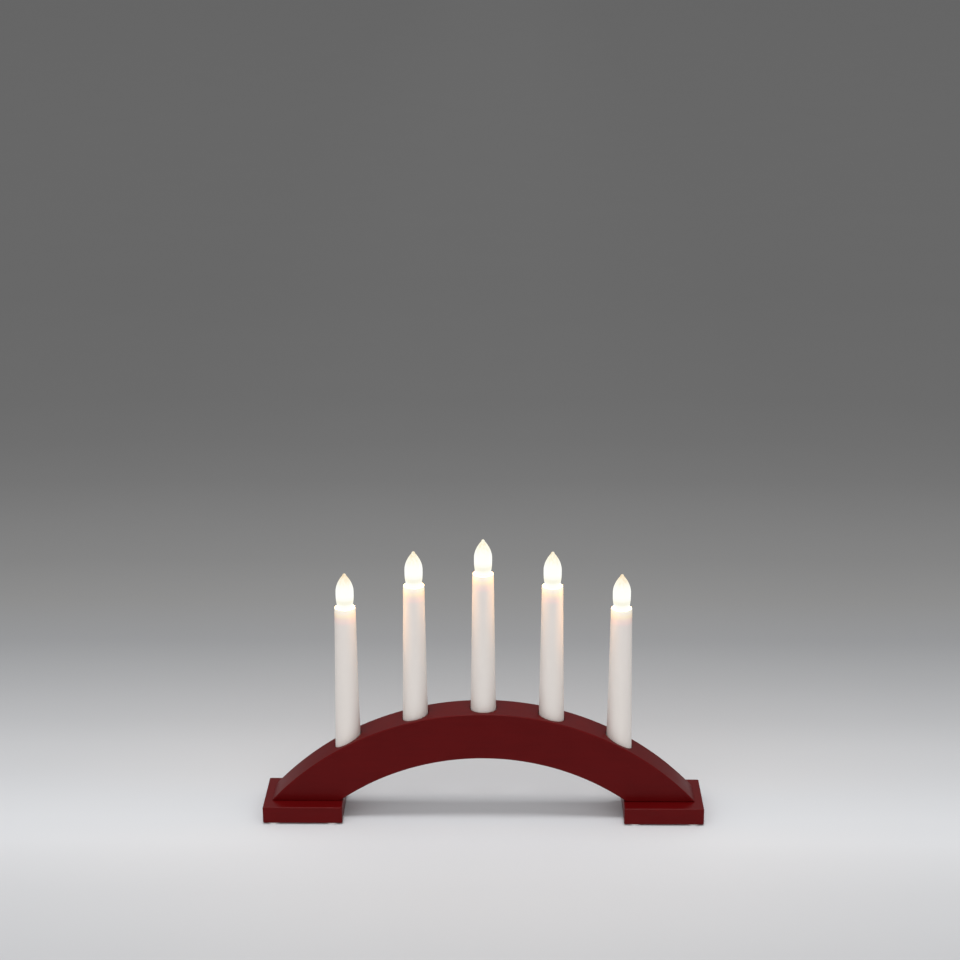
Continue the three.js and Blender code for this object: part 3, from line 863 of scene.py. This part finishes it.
class CANDLESTICK_OT_feet(bpy.types.Operator):
    """Model the foot blocks with their countersunk screws and round pads"""

    bl_idname = "candlestick.feet"
    bl_label = "Feet, screws and pads"

    def execute(self, context):
        wood = context.scene.candlestick_wood
        for side in SIDES:
            node = f"foot_{side}"
            foot = block("foot_work", size_of(node), middle_of(node))
            ease_edges(foot, wood.edge)
            for x in screw_places(wood, side):
                carve(foot, self.screw_hole(x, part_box(node)[0].z))
            install_painted(foot, f"foot_block_{side}", node)
        self.add_screws(wood)
        self.add_pads()
        return {"FINISHED"}

    def screw_hole(self, x, bottom):
        profile = [(0, -1), (4.2, -1), (4.2, 4), (2.2, 6), (2.2, 15), (0, 15)]
        return turn("screw_hole", in_mm(profile), (x, 0, bottom), 48)

    def add_screws(self, wood):
        """Countersunk wood screws with a cross recess, driven up into the arch."""
        head = [(0, 0.9), (3.2, 0.9), (3.9, 1.1), (3.95, 1.35), (1.9, 3.4)]
        shank = [(1.9, 3.4 + 0.25 * i) for i in range(1, 52)]
        tip = [(1.9 * (1 - t / 8) ** 0.8, 16.15 + 0.4 * t) for t in range(1, 8)]
        sunk = 2.6 * MM
        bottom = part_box("foot_left")[0].z + sunk
        screw = turn("screw", in_mm(head + shank + tip + [(0, 19.6)]), (0, 0, bottom), 40)
        low, high = bottom + 4.5 * MM, bottom + 19 * MM
        pitch, depth = 1.8 * MM, 0.6 * MM
        roll_thread(screw, (0, 0), low, high, pitch, depth, (0.3 * MM, 2.5 * MM))
        blade_size = (4.2 * MM, 0.9 * MM, 3.4 * MM)
        for degrees in (20, 110):
            blade = block("blade", blade_size, (0, 0, bottom + 0.9 * MM))
            blade.rotation_euler = (0, 0, math.radians(degrees))
            carve(screw, blade)
        places = [x for side in SIDES for x in screw_places(wood, side)]
        for index, x in enumerate(places, 1):
            piece = copy_to(screw, (x, 0, 0))
            settle(piece, 40)
            install(piece, f"foot_screw_{index}", "zinc_steel", "brass")
        discard(screw)

    def add_pads(self):
        """Stick-on pads with softly rounded edges."""
        size = size_of("pad_left_front_outer")
        radius, height = size.x / 2, size.z
        outline = [(0, 0), (radius, 0), (radius, height), (0, height)]
        pad = turn("pad", eased(outline, 0.25 * MM, 5), sides=64)
        for side in SIDES:
            for end in ("front", "back"):
                for reach in ("outer", "inner"):
                    node = f"pad_{side}_{end}_{reach}"
                    place = middle_of(node)
                    piece = copy_to(pad, (place.x, place.y, 0))
                    settle(piece, 40)
                    install(piece, f"foot_{node}", "pad_rubber", "pad_rubber", node)
        discard(pad)


class CANDLESTICK_OT_tubes(bpy.types.Operator):
    """Model the five tapered candle tubes"""

    bl_idname = "candlestick.tubes"
    bl_label = "Candle tubes"

    def execute(self, context):
        candle = context.scene.candlestick_candle
        low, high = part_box("candle_3_tube")
        base_radius = (high.x - low.x) / 2
        base = low.z + candle.spigot_length - high.z
        end = low.z - high.z
        slope = (base_radius - candle.rim_radius) / -base

        def outside(height):
            return candle.rim_radius - slope * height

        round_radius = candle.wall / 2
        bore = candle.spigot_radius - candle.wall
        web_top = base + 2 * MM
        rim_middle = outside(-round_radius) - round_radius
        rim = []
        for i in range(9):
            across, up = math.cos(math.pi * i / 8), math.sin(math.pi * i / 8)
            rim.append((rim_middle + round_radius * across, -round_radius + round_radius * up))
        spigot, side = candle.spigot_radius, base + 30 * MM
        lower = [(bore, web_top), (bore, end), (spigot, end), (spigot, base)]
        lower += [(base_radius, base), (outside(side), side)]
        inner = outside(web_top) - candle.wall
        inside = [(inner, web_top + 30 * MM), (inner, web_top), (bore, web_top)]
        profile = eased(lower, 0.35 * MM)[:-1] + rim + eased(inside, 0.5 * MM)[1:]
        tube = turn("tube", profile, rim_of(3))
        copy_to_candles(tube, "candle_tube", "candle_plastic", "candle_plastic", "candle_{}_tube")
        return {"FINISHED"}


class CANDLESTICK_OT_holders(bpy.types.Operator):
    """Model the lampholders in the tops of the tubes: bodies, screw shells and centre contacts"""

    bl_idname = "candlestick.holders"
    bl_label = "Lampholders"

    def execute(self, context):
        parts = (
            (self.body, "body", "holder_plastic", "socket_plastic"),
            (self.shell, "shell", "rolled_brass", "brass"),
            (self.contact, "contact", "rolled_brass", "brass"),
        )
        for make, name, finish, slot in parts:
            master = make(rim_of(3))
            copy_to_candles(master, f"holder_{name}", finish, slot, "socket_{}_" + name)
        return {"FINISHED"}

    def body(self, rim):
        low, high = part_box("socket_3_body")
        top = high.z - rim.z
        bottom = low.z - rim.z
        outer_low = (high.x - low.x) / 2
        bore, nose, pocket = 1.3 * MM, 6.1 * MM, 5.7 * MM
        underside, floor = -23.3 * MM, -21.3 * MM
        profile = [(bore, underside), (nose, underside), (nose, bottom), (outer_low, bottom)]
        profile += [(outer_low - 0.28 * MM, top), (pocket, top), (pocket, floor), (bore, floor)]
        body = turn("body", eased(profile, 0.25 * MM, 3, closed=True), rim, 72)
        slot = block("slot", (1.1 * MM, 3.0 * MM, 6 * MM), rim + Vector((-5.15, 0, -22.3)) * MM)
        carve(body, slot)
        return body

    def shell(self, rim):
        """Rolled brass sleeve with its solder tag."""
        pitch = bpy.context.scene.candlestick_lamp.thread_pitch
        top, bottom, steps = -9.8, -21.0, 56
        inner, outer = 5.05, 5.4
        profile = column(outer, bottom, top, steps) + column(inner, top, bottom, steps)
        shell = turn("shell", in_mm(profile + profile[:1]), rim, 64)
        low, high = rim.z + (bottom + 2.4) * MM, rim.z + (top - 0.6) * MM
        roll_thread(shell, rim, low, high, pitch, 0.2 * MM, (4.5 * MM, 6 * MM))
        place = rim + Vector((-5.15, 0, -22.25)) * MM
        tag = block("tag", (0.5 * MM, 2.4 * MM, 6.5 * MM), place)
        ease_edges(tag, 0.12 * MM, 2)
        carve(shell, tag, "UNION")
        return shell

    def contact(self, rim):
        profile = [(0, -25.7), (0.85, -25.7), (1.0, -25.5), (1.0, -21.0), (2.1, -21.0)]
        profile += [(2.2, -20.9), (2.2, -20.4)] + dome(2.2, 0.9, -20.4, 10, 10) + [(0, -19.5)]
        return turn("contact", in_mm(profile), rim, 48)


class CANDLESTICK_OT_lamps(bpy.types.Operator):
    """Model the lamps: glass, threaded cap, insulated foot contact, stem and filament"""

    bl_idname = "candlestick.lamps"
    bl_label = "Lamps"

    def execute(self, context):
        turning, rising = "bulb_{}", "bulb_{}_rise"
        parts = (
            (self.glass, "glass", "lit_glass", "lamp_glass", "bulb_{}_glass", turning),
            (self.cap, "cap", "rolled_brass", "brass", "bulb_{}_cap", turning),
            (self.insulator, "insulator", "dark_glass", "brass", "bulb_{}_contact", rising),
            (self.button, "button", "soft_solder", "brass", "bulb_{}_contact", rising),
            (self.stem, "stem", "clear_glass", "lamp_stem", "bulb_{}_stem", turning),
            (self.filament, "filament", "hot_wire", "lamp_stem", "bulb_{}_stem", turning),
        )
        for make, name, *rest in parts:
            for piece in copy_to_candles(make(rim_of(3)), f"lamp_{name}", *rest, sharpness=45):
                piece.visible_shadow = "glass" not in piece.name
        for number in NUMBERS:
            self.add_light(context.scene.candlestick_lamp, number)
        return {"FINISHED"}

    def add_light(self, lamp, number):
        """The light of the filament, which the lit glass itself doesn't hold back."""
        light = bpy.data.lights.new(f"lamp_light_{number}", "POINT")
        light.color = lamp.light
        light.energy = lamp.power
        light.shadow_soft_size = 5 * MM
        source = bpy.data.objects.new(f"lamp_light_{number}", light)
        source.location = rim_of(number) + Vector((0, 0, 10 * MM))
        source.visible_camera = False
        bpy.context.collection.objects.link(source)

    def glass_side(self, inset):
        """Outline of the glass from its open end to its tip, moved inwards by an inset."""
        lamp = bpy.context.scene.candlestick_lamp
        neck_radius, neck_drop, end = 4.15 * MM, 6.6 * MM, 9.0 * MM
        side = [(neck_radius - inset, -end)]
        for i in range(22):
            t = 1 - i / 22
            height = lamp.widest_height * (1 - t) - neck_drop * t
            share = (1 + math.cos(math.pi * t**1.75)) / 2
            side.append((neck_radius + (lamp.glass_radius - neck_radius) * share - inset, height))
        blunting = 0.4 * MM
        point_radius = 1.4 * MM - inset / 2
        tip = lamp.glass_height - blunting - 2 * inset
        shoulder = tip - 0.1 * MM
        for i in range(40):
            t = math.sin(math.pi / 2 * i / 40)
            radius = lamp.glass_radius * (1 - t * t) ** 0.95 - inset * math.sqrt(1 - t)
            height = lamp.widest_height + (shoulder - lamp.widest_height) * t
            if radius > point_radius + 0.15 * MM:
                side.append((radius, height))
        for degrees in range(0, 90, 10):
            angle = math.radians(degrees)
            drop = point_radius * (1 - math.sin(angle))
            side.append((point_radius * math.cos(angle), tip - drop))
        side.append((0, tip))
        return side

    def glass(self, rim):
        wall = 0.5 * MM
        return turn("glass", self.glass_side(wall)[::-1] + self.glass_side(0), rim)

    def cap(self, rim):
        """Thin brass cap with a rolled thread, a collar and a sloping shoulder."""
        lamp = bpy.context.scene.candlestick_lamp
        top, bottom, steps = -7.0, -15.2, 48
        outer, wall = 4.75, 0.3
        profile = [(2.6, -16.6), (3.1, -16.6), (3.3, -16.5)] + column(outer, bottom, top, steps)
        profile += column(outer - wall, top, bottom, steps)[:-1]
        profile += [(4.4, -15.0), (2.6, -16.0), (2.6, -16.6)]
        cap = turn("cap", in_mm(profile), rim, 64)
        low, high = rim.z + (bottom + 0.1) * MM, rim.z + (top - 0.9) * MM
        reach = (4.0 * MM, 5 * MM)
        roll_thread(cap, rim, low, high, lamp.thread_pitch, lamp.thread_depth, reach)
        return cap

    def insulator(self, rim):
        profile = [(0, -17.9), (1.6, -17.9), (2.0, -17.5), (2.3, -16.9), (2.3, -16.4), (0, -16.4)]
        return turn("insulator", eased(in_mm(profile), 0.15 * MM, 3), rim, 48)

    def button(self, rim):
        angles = [math.radians(degrees) for degrees in range(0, 91, 10)]
        profile = [(1.7 * math.sin(angle), -18.3 - 0.9 * math.cos(angle)) for angle in angles]
        profile += [(1.65, -17.95), (0, -17.95)]
        return turn("button", in_mm(profile), rim, 48)

    def stem(self, rim):
        profile = [(0, -9.0), (3.3, -9.0), (3.35, -8.6), (3.2, -7.8), (2.2, -5.6), (1.5, -3.3)]
        profile += [(1.3, -1.5), (1.3, 2.6)] + dome(1.3, 0.9, 2.6, 15, 15) + [(0, 3.5)]
        return turn("stem", in_mm(profile), rim, 40)

    def filament(self, rim):
        """Two support wires and the coil between them."""
        points = [(-0.65, 2.5), (-0.65, 4.5), (-2.6, 11.2), (-2.5, 12.0)]
        for i in range(73):
            angle = FULL_TURN * 9 * i / 72
            along = -2.2 + 4.4 * i / 72
            points.append((along, 12.5 + 0.28 * math.sin(angle), 0.28 * math.cos(angle)))
        points += [(2.5, 12.0), (2.6, 11.2), (0.65, 4.5), (0.65, 2.5)]
        route = [rim + Vector((p[0], p[2] if len(p) > 2 else 0, p[1])) * MM for p in points]
        return tube_along("filament", route, 0.13 * MM, 3)


def tube_along(name, route, radius, resolution):
    """A round wire along a route, made a closed mesh."""
    deselect_all()
    curve = bpy.data.curves.new(name, "CURVE")
    curve.dimensions = "3D"
    curve.bevel_depth = radius
    curve.bevel_resolution = resolution
    curve.use_fill_caps = True
    spline = curve.splines.new("POLY")
    spline.points.add(len(route) - 1)
    for point, place in zip(spline.points, route):
        point.co = (*place, 1)
    obj = bpy.data.objects.new(name, curve)
    bpy.context.collection.objects.link(obj)
    make_active(obj)
    bpy.ops.object.convert(target="MESH")
    obj = bpy.context.object
    bpy.ops.object.mode_set(mode="EDIT")
    close_up()
    return obj


class CANDLESTICK_OT_wiring(bpy.types.Operator):
    """Model the wires of the series circuit and the cord gland at the back"""

    bl_idname = "candlestick.wiring"
    bl_label = "Wires and cord gland"

    def execute(self, context):
        wood = context.scene.candlestick_wood
        to_lane = wood.cover_thickness + FIT_GAP + wood.groove_depth / 2
        self.lane_arc = grown(inner_arc(wood), to_lane)
        self.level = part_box("arch")[0].z + wood.groove_depth / 2
        self.add_gland()
        lane = 1.6 * MM
        first, last = rim_of(1).x, rim_of(5).x
        back = self.from_shell(1, lane)
        back += self.along_groove(first - WIRE_SPREAD, 2 * last, 12, lane)
        routes = {
            "wire_supply": self.from_contact(5, lane) + self.at_gland(last + WIRE_SPREAD, lane),
            "wire_return": back + self.at_gland(last - WIRE_SPREAD, lane),
        }
        for number in (5, 4, 3, 2):
            start = rim_of(number).x - WIRE_SPREAD
            span = rim_of(number - 1).x + WIRE_SPREAD - start
            route = self.from_shell(number, -lane) + self.along_groove(start, span, 4, -lane)
            route += reversed(self.from_contact(number - 1, -lane))
            routes[f"wire_{number}_to_{number - 1}"] = route
        wire_radius, bend_radius = 0.9 * MM, 3 * MM
        for name, corners in routes.items():
            wire = tube_along("wire", self.bent(corners, bend_radius), wire_radius, 4)
            settle(wire, 50)
            install(wire, f"insulated_{name}", "wire_insulation", "wire_insulation", name)
        return {"FINISHED"}

    def add_gland(self):
        """Flanged bush with rounded edges, in the back of the arch."""
        low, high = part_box("cord_gland")
        middle = middle_of("cord_gland")
        flange, bore, end = (high.x - low.x) / 2, 3.2 * MM, high.y - low.y
        neck, under_flange = flange - GLAND_LIP, end - 1.5 * MM
        profile = [(bore, 0), (neck, 0), (neck, under_flange)]
        profile += [(flange, under_flange), (flange, end), (bore, end)]
        gland = turn("gland", eased(profile, 0.55 * MM, 5, closed=True), sides=80)
        gland.rotation_euler = (math.radians(-90), 0, 0)
        gland.location = (middle.x, low.y, middle.z)
        settle(gland, 40)
        install(gland, "cord_bush", "gland_plastic", "gland_plastic", "cord_gland")

    def leave_holder(self, number, lane, terminal, side):
        """From a terminal of a lampholder down to a lane of the groove."""
        rim = rim_of(number)
        below_holder = Vector((terminal.x, 0, -28.3))
        above_groove = rim.z - 56.6 * MM
        return [
            rim + terminal * MM,
            rim + below_holder * MM,
            Vector((rim.x + side * WIRE_SPREAD, lane, above_groove)),
        ]

    def from_shell(self, number, lane):
        return self.leave_holder(number, lane, Vector((-4.65, 0, -25.8)), -1)

    def from_contact(self, number, lane):
        return self.leave_holder(number, lane, Vector((0, 0, -26.0)), 1)

    def along_groove(self, start, span, steps, lane):
        places = [start + span * i / steps for i in range(steps + 1)]
        heights = [max(arc_height(self.lane_arc, x), self.level) for x in places]
        return [Vector((x, lane, height)) for x, height in zip(places, heights)]

    def at_gland(self, x, lane):
        height, inner_end = middle_of("cord_gland").z, 6.7 * MM
        return [Vector((x, lane, height)), Vector((x, inner_end, height))]

    def bent(self, corners, radius):
        """The route with its sharp corners rounded."""
        route = [corners[0]]
        slight = math.radians(45)
        for before, corner, after in zip(corners, corners[1:], corners[2:]):
            into = (corner - before).normalized()
            out_of = (after - corner).normalized()
            if into.angle(out_of) < slight:
                route.append(corner)
                continue
            route += rounding(corner - into * radius, corner, corner + out_of * radius, 8)
        route.append(corners[-1])
        return route


class CANDLESTICK_OT_stage(bpy.types.Operator):
    """Set up the floor, the soft lights, the surroundings and the camera"""

    bl_idname = "candlestick.stage"
    bl_label = "Stage"

    def execute(self, context):
        stage = context.scene.candlestick_stage
        self.add_floor(stage)
        self.add_sun("overhead_light", stage.overhead, spread=16, elevation=86, azimuth=-100)
        self.add_sun("front_light", stage.front, spread=90, elevation=25, azimuth=-95)
        self.set_surroundings(context.scene, stage)
        self.add_camera(context.scene, stage)
        context.scene.view_settings.view_transform = "Standard"
        return {"FINISHED"}

    def add_floor(self, stage):
        """A wide floor painted lighter near the object and darker with distance, in place of the
        fall-off of the studio light.
        """
        deselect_all()
        bpy.ops.mesh.primitive_circle_add(
            vertices=stage.floor_sides, radius=stage.floor_radius, fill_type="NGON"
        )
        floor = bpy.context.object
        floor.name = "studio_floor"
        finish = Finish("floor_paper", Roughness=0.9, Specular_IOR_Level=0.0)
        place = finish.split(finish.place)
        half_width, front = 0.45, 0.055
        side = finish.combine("SUBTRACT", finish.combine("ABSOLUTE", place["X"]), half_width)
        side = finish.combine("MAXIMUM", side)
        along = finish.combine("ADD", place["Y"], front)
        side_square = finish.combine("MULTIPLY", side, side)
        along_square = finish.combine("MULTIPLY", along, along)
        distance = finish.combine("SQRT", finish.combine("ADD", side_square, along_square))
        # Painted light: the tone is highest just in front of the object and falls off in front of
        # it and behind it, in place of the fall-off of the studio light; it is slightly cool in
        # front and up to half a metre behind.
        tones = (
            (-0.250, 0.600), (-0.170, 0.629), (-0.125, 0.657), (-0.080, 0.682),
            (-0.030, 0.730), (0.000, 0.768), (0.040, 0.756), (0.072, 0.722),
            (0.124, 0.652), (0.178, 0.600), (0.232, 0.526), (0.322, 0.430),
            (0.422, 0.337), (0.534, 0.289), (0.656, 0.247), (0.792, 0.219),
            (0.946, 0.187), (1.118, 0.169), (1.320, 0.158), (1.540, 0.154), (2.000, 0.148),
        )
        near, wide = tones[0][0], tones[-1][0] - tones[0][0]
        cool = (0.985, 1.000, 1.030)
        white = (1.0, 1.0, 1.0)
        stops = [
            ((reach - near) / wide, scaled(cool if reach < 0.5 else white, tone))
            for reach, tone in tones
        ]
        backwards = finish.combine("MULTIPLY", distance, -1)
        before = finish.ramp(finish.spread(backwards, near, near + wide), stops)
        behind = finish.ramp(finish.spread(distance, near, near + wide), stops)
        bearing = finish.combine("DIVIDE", along, finish.combine("MAXIMUM", distance, 0.001))
        grey = finish.mix(finish.spread(bearing, -0.7, 0.7), before, behind)
        far = finish.spread(distance, 2.0, 8.0)
        grey = finish.mix(far, grey, (1.02 * stage.backdrop,) * 3)
        # Painted fall-off of the light towards the sides of the floor.
        off_middle = finish.combine("ABSOLUTE", finish.combine("ADD", place["X"], 0.04))
        painted_side_falloff = finish.mix(finish.spread(off_middle, 0.12, 0.46), white, scaled(white, 0.965))
        paper = finish.ramp(finish.noise(7, 3), ((0.3, scaled(white, 0.99)), (0.7, white)))
        finish.colour(finish.times(finish.times(grey, painted_side_falloff), paper))
        floor.data.materials.append(finish.material)

    def add_sun(self, name, strength, spread, elevation, azimuth):
        """A soft lamp that stands at an elevation and an azimuth from the +X direction."""
        light = bpy.data.lights.new(name, "SUN")
        light.energy = strength * math.pi
        light.angle = math.radians(spread)
        lamp = bpy.data.objects.new(name, light)
        bpy.context.collection.objects.link(lamp)
        up, around = math.radians(elevation), math.radians(azimuth)
        level = math.cos(up)
        towards = Vector((level * math.cos(around), level * math.sin(around), math.sin(up)))
        lamp.location = towards * 2
        lamp.rotation_euler = towards.to_track_quat("Z", "Y").to_euler()

    def set_surroundings(self, scene, stage):
        """Even light from all around, and the grey that the camera, gloss and clear glass see."""
        world = bpy.data.worlds.new("surroundings")
        scene.world = world
        world.use_nodes = True
        world.node_tree.nodes.clear()
        nodes = NodeSet(world.node_tree)
        white = (1, 1, 1, 1)
        lit = nodes.add("ShaderNodeBackground", Color=white, Strength=stage.surround)
        seen = nodes.add("ShaderNodeBackground", Color=white)
        rise = nodes.split(nodes.add("ShaderNodeTexCoord").outputs["Generated"])["Z"]
        strength = nodes.spread(rise, 0.0, 0.55, stage.backdrop, stage.ceiling)
        nodes.link(strength, seen.inputs["Strength"])
        path = nodes.add("ShaderNodeLightPath").outputs
        any_seen = nodes.combine("MAXIMUM", path["Is Camera Ray"], path["Is Glossy Ray"])
        any_seen = nodes.combine("MAXIMUM", any_seen, path["Is Transmission Ray"])
        mix = nodes.add("ShaderNodeMixShader")
        nodes.link(any_seen, mix.inputs["Fac"])
        nodes.link(lit.outputs[0], mix.inputs[1])
        nodes.link(seen.outputs[0], mix.inputs[2])
        nodes.link(mix.outputs[0], nodes.add("ShaderNodeOutputWorld").inputs["Surface"])

    def add_camera(self, scene, stage):
        """The camera stands before the object and looks down on it a little."""
        pitch, yaw, roll = 0.31183, -0.01414, -0.0023
        place = (0.0192165, -1.520435, 0.777256)
        flat = math.cos(pitch)
        ahead = Vector((math.sin(yaw) * flat, math.cos(yaw) * flat, -math.sin(pitch)))
        level = Vector((math.cos(yaw), -math.sin(yaw), 0))
        above = level.cross(ahead)
        right = level * math.cos(roll) + above * math.sin(roll)
        up = above * math.cos(roll) - level * math.sin(roll)
        data = bpy.data.cameras.new("camera")
        data.lens = stage.lens
        data.sensor_width = 36
        data.clip_end = 200
        camera = bpy.data.objects.new("camera", data)
        bpy.context.collection.objects.link(camera)
        turned = Matrix((right, up, -ahead)).transposed()
        camera.matrix_world = Matrix.Translation(place) @ turned.to_4x4()
        scene.camera = camera


class CANDLESTICK_PT_panel(bpy.types.Panel):
    """Sidebar panel with every step and the sizes and colours it uses"""

    bl_label = "Candlestick"
    bl_idname = "CANDLESTICK_PT_panel"
    bl_space_type = "VIEW_3D"
    bl_region_type = "UI"
    bl_category = "Candlestick"

    def draw(self, context):
        for name, title, _, steps in GROUPS:
            settings = getattr(context.scene, name)
            box = self.layout.box()
            box.label(text=title)
            for key in settings.bl_rna.properties.keys():
                if key not in ("rna_type", "name"):
                    box.prop(settings, key)
            for step in steps:
                box.operator(step.bl_idname)


WOOD_STEPS = (CANDLESTICK_OT_arch, CANDLESTICK_OT_feet)
CANDLE_STEPS = (CANDLESTICK_OT_tubes, CANDLESTICK_OT_holders)
LAMP_STEPS = (CANDLESTICK_OT_lamps, CANDLESTICK_OT_wiring)
GROUPS = (
    ("candlestick_wood", "Wood", WoodSettings, WOOD_STEPS),
    ("candlestick_candle", "Candles", CandleSettings, CANDLE_STEPS),
    ("candlestick_lamp", "Lamps", LampSettings, LAMP_STEPS),
    ("candlestick_stage", "Stage", StageSettings, (CANDLESTICK_OT_stage,)),
)


def register():
    for name, _, settings, steps in GROUPS:
        for kind in (settings, *steps):
            bpy.utils.register_class(kind)
        setattr(bpy.types.Scene, name, PointerProperty(type=settings))
    bpy.utils.register_class(CANDLESTICK_PT_panel)


def unregister():
    bpy.utils.unregister_class(CANDLESTICK_PT_panel)
    for name, _, settings, steps in reversed(GROUPS):
        delattr(bpy.types.Scene, name)
        for kind in (*steps, settings):
            bpy.utils.unregister_class(kind)


def main():
    register()
    bpy.ops.candlestick.stage()
    bpy.ops.candlestick.arch()
    bpy.ops.candlestick.feet()
    bpy.ops.candlestick.tubes()
    bpy.ops.candlestick.holders()
    bpy.ops.candlestick.lamps()
    bpy.ops.candlestick.wiring()


if __name__ == "__main__":
    main()
